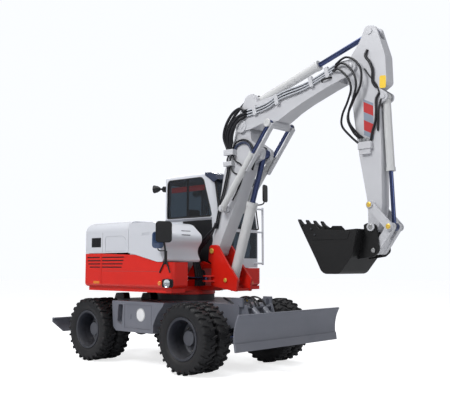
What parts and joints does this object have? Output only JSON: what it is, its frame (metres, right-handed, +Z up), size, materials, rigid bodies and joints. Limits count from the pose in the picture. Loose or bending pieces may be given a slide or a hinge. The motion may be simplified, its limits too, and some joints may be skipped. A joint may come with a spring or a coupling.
{
  "type": "wheeled excavator",
  "caption": "Wheeled excavator with twin tyres, dozer blade, slewing upper body with cab, and a swinging boom in two parts with arm and bucket.",
  "frame": {"origin": "on the ground under the middle of the whole machine's box, boom and blade included", "axes": "+X forward to the blade and the bucket, +Y to the driver's left, +Z up"},
  "size_m": [5.953, 2.5976, 4.5488],
  "materials": {
    "tyre": "matte",
    "rim_grey": "satin",
    "chassis_grey": "satin",
    "dark_steel": "matte",
    "chrome_rod": "polished",
    "body_red": "gloss",
    "body_white": "gloss",
    "boom_white": "gloss",
    "window_glass": "gloss",
    "seat_black": "matte",
    "black_plastic": "matte",
    "cylinder_grey": "satin",
    "bucket_black": "satin"
  },
  "bodies": {
    "chassis": {"chassis_frame": "chassis_grey", "tool_box": "chassis_grey", "step_box": "chassis_grey", "front_axle": "chassis_grey", "rear_axle": "chassis_grey", "rear_plate": "chassis_grey", "slew_ring": "dark_steel", "drive_line": "dark_steel", "hose_junctions": "black_plastic"},
    "upper": {"upper_frame": "body_red", "counterweight": "body_red", "skirt_right": "body_red", "skirt_left": "body_red", "engine_hood": "body_white", "right_cover": "body_white", "engine": "dark_steel", "cab_shell": "body_white", "cab_roof": "body_white", "cab_glass": "window_glass", "seat": "seat_black", "consoles": "black_plastic", "steering_column": "black_plastic", "mirrors": "black_plastic", "lamps": "black_plastic", "handrail": "body_white"},
    "cab_door": {"cab_door": "body_white", "door_glass": "window_glass"},
    "wheel_front_left": {"tyres_front_left": "tyre", "rims_front_left": "rim_grey"},
    "wheel_front_right": {"tyres_front_right": "tyre", "rims_front_right": "rim_grey"},
    "wheel_rear_left": {"tyres_rear_left": "tyre", "rims_rear_left": "rim_grey"},
    "wheel_rear_right": {"tyres_rear_right": "tyre", "rims_rear_right": "rim_grey"},
    "steer_rod": {"steer_rod": "chrome_rod"},
    "knuckle_left": {"knuckle_left": "chassis_grey"},
    "knuckle_right": {"knuckle_right": "chassis_grey"},
    "blade": {"blade": "chassis_grey"},
    "blade_arms": {"blade_arms": "chassis_grey"},
    "blade_links": {"blade_links": "chassis_grey"},
    "blade_barrels": {"blade_barrels": "chassis_grey"},
    "blade_rods": {"blade_rods": "chrome_rod"},
    "swing_bracket": {"swing_bracket": "body_red"},
    "swing_barrel": {"swing_barrel": "chassis_grey"},
    "swing_rod": {"swing_rod": "chrome_rod"},
    "lower_boom": {"lower_boom": "boom_white"},
    "lift_barrel": {"lift_barrel": "cylinder_grey"},
    "lift_rod": {"lift_rod": "chrome_rod"},
    "adjust_barrels": {"adjust_barrels": "cylinder_grey"},
    "adjust_rods": {"adjust_rods": "chrome_rod"},
    "upper_boom": {"upper_boom": "boom_white"},
    "arm_barrel": {"arm_barrel": "cylinder_grey"},
    "arm_rod": {"arm_rod": "chrome_rod"},
    "arm": {"arm": "boom_white"},
    "bucket_barrel": {"bucket_barrel": "cylinder_grey"},
    "bucket_rod": {"bucket_rod": "chrome_rod"},
    "rocker": {"rocker": "boom_white"},
    "bucket_link": {"bucket_link": "boom_white"},
    "bucket": {"bucket": "bucket_black"}
  },
  "joints": [
    {"name": "steer_left", "type": "hinge", "parent": "chassis", "child": "knuckle_left", "pos_m": [0.2985, 0.56, 0.487], "axis": [0, 0, 1], "range_deg": [-25, 25]},
    {"name": "steer_right", "type": "hinge", "parent": "chassis", "child": "knuckle_right", "pos_m": [0.2985, -0.56, 0.487], "axis": [0, 0, 1], "range_deg": [-25, 25]},
    {"name": "steer_slide", "type": "slide", "parent": "chassis", "child": "steer_rod", "axis": [0, 1, 0], "range_m": [-0.0948, 0.0948]},
    {"name": "roll_front_left", "type": "hinge", "parent": "knuckle_left", "child": "wheel_front_left", "pos_m": [0.2985, 0.8725, 0.487], "axis": [0, 1, 0], "continuous": true},
    {"name": "roll_front_right", "type": "hinge", "parent": "knuckle_right", "child": "wheel_front_right", "pos_m": [0.2985, -0.8725, 0.487], "axis": [0, 1, 0], "continuous": true},
    {"name": "roll_rear_left", "type": "hinge", "parent": "chassis", "child": "wheel_rear_left", "pos_m": [-1.8715, 0.8725, 0.487], "axis": [0, 1, 0], "continuous": true},
    {"name": "roll_rear_right", "type": "hinge", "parent": "chassis", "child": "wheel_rear_right", "pos_m": [-1.8715, -0.8725, 0.487], "axis": [0, 1, 0], "continuous": true},
    {"name": "blade_lift", "type": "hinge", "parent": "chassis", "child": "blade_arms", "pos_m": [0.79906, 0, 0.37021], "axis": [0, -1, 0], "range_deg": [-65, 0]},
    {"name": "blade_link_turn", "type": "hinge", "parent": "chassis", "child": "blade_links", "pos_m": [0.79906, 0, 0.61021], "axis": [0, -1, 0], "range_deg": [-65, 0]},
    {"name": "blade_level", "type": "hinge", "parent": "blade_arms", "child": "blade", "pos_m": [1.1985, 0, 0.5], "axis": [0, -1, 0], "range_deg": [0, 65]},
    {"name": "blade_barrel_turn", "type": "hinge", "parent": "chassis", "child": "blade_barrels", "pos_m": [0.7135, 0, 0.89], "axis": [0, -1, 0], "range_deg": [-19.5, 0.5]},
    {"name": "blade_rod_slide", "type": "slide", "parent": "blade_barrels", "child": "blade_rods", "axis": [0.7143, 0, -0.6998], "range_m": [-0.003, 0.2931]},
    {"name": "slew", "type": "hinge", "parent": "chassis", "child": "upper", "pos_m": [-0.7865, 0, 1], "axis": [0, 0, 1], "continuous": true},
    {"name": "cab_door_turn", "type": "hinge", "parent": "upper", "child": "cab_door", "pos_m": [-1.1205, 1.134, 2], "axis": [0, 0, 1], "range_deg": [0, 110]},
    {"name": "boom_swing", "type": "hinge", "parent": "upper", "child": "swing_bracket", "pos_m": [-0.0865, 0, 1.3], "axis": [0, 0, 1], "range_deg": [-50, 50]},
    {"name": "swing_barrel_turn", "type": "hinge", "parent": "upper", "child": "swing_barrel", "pos_m": [-0.9765, -0.42, 1.292], "axis": [0, 0, 1], "range_deg": [-2.71, 2.71]},
    {"name": "swing_rod_slide", "type": "slide", "parent": "swing_barrel", "child": "swing_rod", "axis": [0.9842, 0.1769, 0], "range_m": [-0.1959, 0.1959]},
    {"name": "boom_lift", "type": "hinge", "parent": "swing_bracket", "child": "lower_boom", "pos_m": [-0.0365, 0, 1.704], "axis": [0, -1, 0], "range_deg": [-40, 6]},
    {"name": "lift_barrel_turn", "type": "hinge", "parent": "swing_bracket", "child": "lift_barrel", "pos_m": [0.2435, 0, 1.27], "axis": [0, -1, 0], "range_deg": [-35.88, 5.81]},
    {"name": "lift_rod_slide", "type": "slide", "parent": "lift_barrel", "child": "lift_rod", "axis": [0.3162, 0, 0.9487], "range_m": [-0.3274, 0.0517]},
    {"name": "boom_adjust", "type": "hinge", "parent": "lower_boom", "child": "upper_boom", "pos_m": [0.5485, 0, 3.535], "axis": [0, -1, 0], "range_deg": [-18, 30]},
    {"name": "adjust_barrels_turn", "type": "hinge", "parent": "lower_boom", "child": "adjust_barrels", "pos_m": [0.2345, 0, 2.328], "axis": [0, -1, 0], "range_deg": [-4.79, 7.65]},
    {"name": "adjust_rods_slide", "type": "slide", "parent": "adjust_barrels", "child": "adjust_rods", "axis": [0.6161, 0, 0.7877], "range_m": [-0.1504, 0.2487]},
    {"name": "arm_crowd", "type": "hinge", "parent": "upper_boom", "child": "arm", "pos_m": [2.4085, 0, 4.06], "axis": [0, 1, 0], "range_deg": [-90, 17]},
    {"name": "arm_barrel_turn", "type": "hinge", "parent": "upper_boom", "child": "arm_barrel", "pos_m": [0.7285, 0, 3.879], "axis": [0, 1, 0], "range_deg": [-7.12, 1.75]},
    {"name": "arm_rod_slide", "type": "slide", "parent": "arm_barrel", "child": "arm_rod", "axis": [0.9565, 0, 0.2916], "range_m": [-0.6726, 0.1295]},
    {"name": "bucket_curl", "type": "hinge", "parent": "arm", "child": "bucket", "pos_m": [2.6875, 0, 1.959], "axis": [0, 1, 0], "range_deg": [-130, 5]},
    {"name": "rocker_turn", "type": "hinge", "parent": "arm", "child": "rocker", "pos_m": [2.6665, 0, 2.237], "axis": [0, 1, 0], "range_deg": [-91.5, 4]},
    {"name": "bucket_link_turn", "type": "hinge", "parent": "bucket", "child": "bucket_link", "pos_m": [2.7155, 0, 1.668], "axis": [0, 1, 0], "range_deg": [-4.05, 92.8]},
    {"name": "bucket_barrel_turn", "type": "hinge", "parent": "arm", "child": "bucket_barrel", "pos_m": [2.8575, 0, 3.594], "axis": [0, 1, 0], "range_deg": [-5.05, 0.68]},
    {"name": "bucket_rod_slide", "type": "slide", "parent": "bucket_barrel", "child": "bucket_rod", "axis": [0.0409, 0, -0.9992], "range_m": [-0.5362, 0.0235]}
  ],
  "couplings": [
    {"joint": "steer_right", "follows": "steer_left", "ratio": 1},
    {"joint": "steer_slide", "follows": "steer_left", "m_per_rad": 0.2105},
    {"joint": "blade_link_turn", "follows": "blade_lift", "ratio": 1},
    {"joint": "blade_level", "follows": "blade_lift", "ratio": -1},
    {"joint": "blade_barrel_turn", "follows": "blade_lift", "ratio": 0.2923},
    {"joint": "blade_rod_slide", "follows": "blade_lift", "m_per_rad": -0.2557},
    {"joint": "swing_barrel_turn", "follows": "boom_swing", "ratio": -0.0442},
    {"joint": "swing_rod_slide", "follows": "boom_swing", "m_per_rad": 0.221},
    {"joint": "lift_barrel_turn", "follows": "boom_lift", "ratio": 0.8845},
    {"joint": "lift_rod_slide", "follows": "boom_lift", "m_per_rad": 0.4647},
    {"joint": "adjust_barrels_turn", "follows": "boom_adjust", "ratio": 0.2383},
    {"joint": "adjust_rods_slide", "follows": "boom_adjust", "m_per_rad": 0.4693},
    {"joint": "arm_barrel_turn", "follows": "arm_crowd", "ratio": 0.0736},
    {"joint": "arm_rod_slide", "follows": "arm_crowd", "m_per_rad": 0.4263},
    {"joint": "rocker_turn", "follows": "bucket_curl", "ratio": 0.7},
    {"joint": "bucket_link_turn", "follows": "bucket_curl", "ratio": -0.71},
    {"joint": "bucket_barrel_turn", "follows": "bucket_curl", "ratio": 0.035},
    {"joint": "bucket_rod_slide", "follows": "bucket_curl", "m_per_rad": 0.235}
  ]
}
